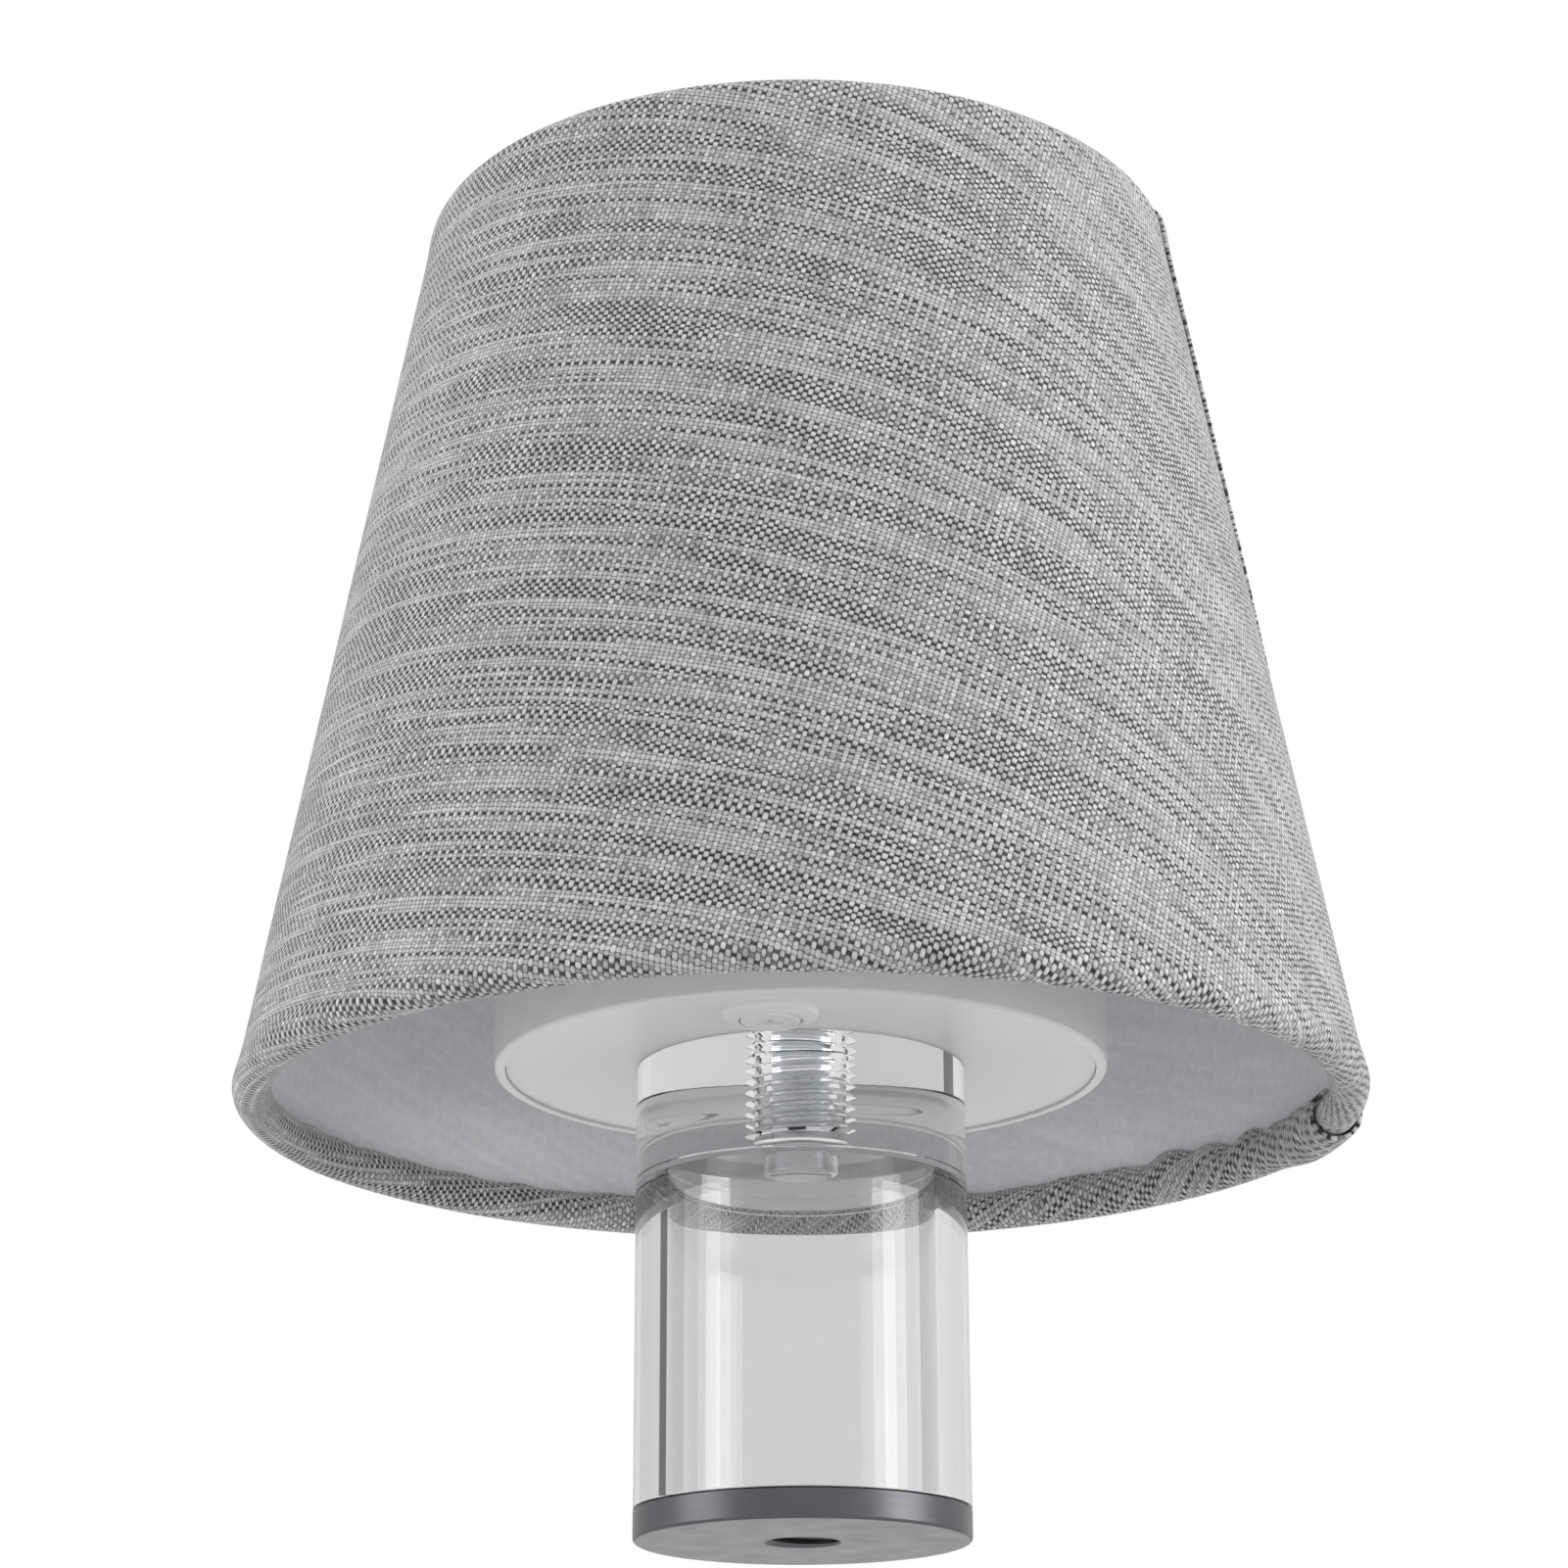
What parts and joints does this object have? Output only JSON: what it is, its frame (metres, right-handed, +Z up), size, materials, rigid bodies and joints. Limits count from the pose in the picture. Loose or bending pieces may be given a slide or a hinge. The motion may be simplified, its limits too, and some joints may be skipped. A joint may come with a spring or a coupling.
{
  "type": "candle lamp with shade",
  "caption": "Slim lamp with a tapered woven grey cloth shade, a round white battery pan, a candle-shaped light and a clear column with a tapped foot.",
  "frame": {"origin": "centre of the end cap's flat underside, on the column's axis", "axes": "+Z up along the column, -Y towards the viewer of the picture, the shade's cloth seam on the +X side"},
  "size_m": [0.154, 0.154, 0.1884],
  "materials": {
    "dark_metal": "satin, dark nickel look",
    "clear_acrylic": "clear, polished",
    "zinc_steel": "bright zinc plate",
    "white_paint": "satin white powder coat",
    "white_plastic": "fine matte",
    "cell_wrap": "shrink wrap",
    "inner_plastic": "moulded",
    "circuit_board": "white solder mask",
    "led_yellow": "phosphor",
    "opal_plastic": "opal, satin",
    "silicone": "soft matte",
    "white_wire": "white enamel",
    "shade_lining": "smooth film lining, pale grey",
    "grey_cloth": "woven grey melange, plain weave"
  },
  "bodies": {
    "lamp": {"end_cap": "dark_metal", "column_tube": "clear_acrylic", "column_plug": "clear_acrylic", "mounting_stud": "zinc_steel", "lock_washer": "zinc_steel", "stud_nut": "zinc_steel", "pan_shell": "white_paint", "pan_plate": "white_paint", "pan_spacer": "zinc_steel", "plate_washers": "white_paint", "plate_screws": "white_paint", "battery_cells": "cell_wrap", "cell_cradles": "inner_plastic", "control_board": "circuit_board", "board_standoffs": "inner_plastic", "board_screws": "zinc_steel", "charging_socket": "zinc_steel", "button_switch": "inner_plastic", "light_collar": "white_paint", "led_board": "circuit_board", "led_chips": "led_yellow", "light_tube": "opal_plastic", "light_cap": "white_paint", "tie_rod": "zinc_steel"},
    "seat": {"seat_washer": "silicone"},
    "shade": {"spider_hub": "white_wire", "spider_arms": "white_wire", "top_ring": "white_wire", "bottom_ring": "white_wire", "shade_liner": "shade_lining", "shade_cloth": "grey_cloth"},
    "button": {"power_button": "white_plastic", "switch_plunger": "inner_plastic"}
  },
  "joints": [
    {"name": "shade_turn", "type": "hinge", "parent": "lamp", "child": "seat", "pos_m": [0, 0, 0.1765], "axis": [0, 0, 1], "continuous": true},
    {"name": "shade_lift", "type": "slide", "parent": "seat", "child": "shade", "axis": [0, 0, 1], "range_m": [0, 0.135]},
    {"name": "button_press", "type": "slide", "parent": "lamp", "child": "button", "axis": [0, -1, 0], "range_m": [0, 0.0006], "stiffness_N_per_m": 400, "springref_m": -0.001}
  ]
}
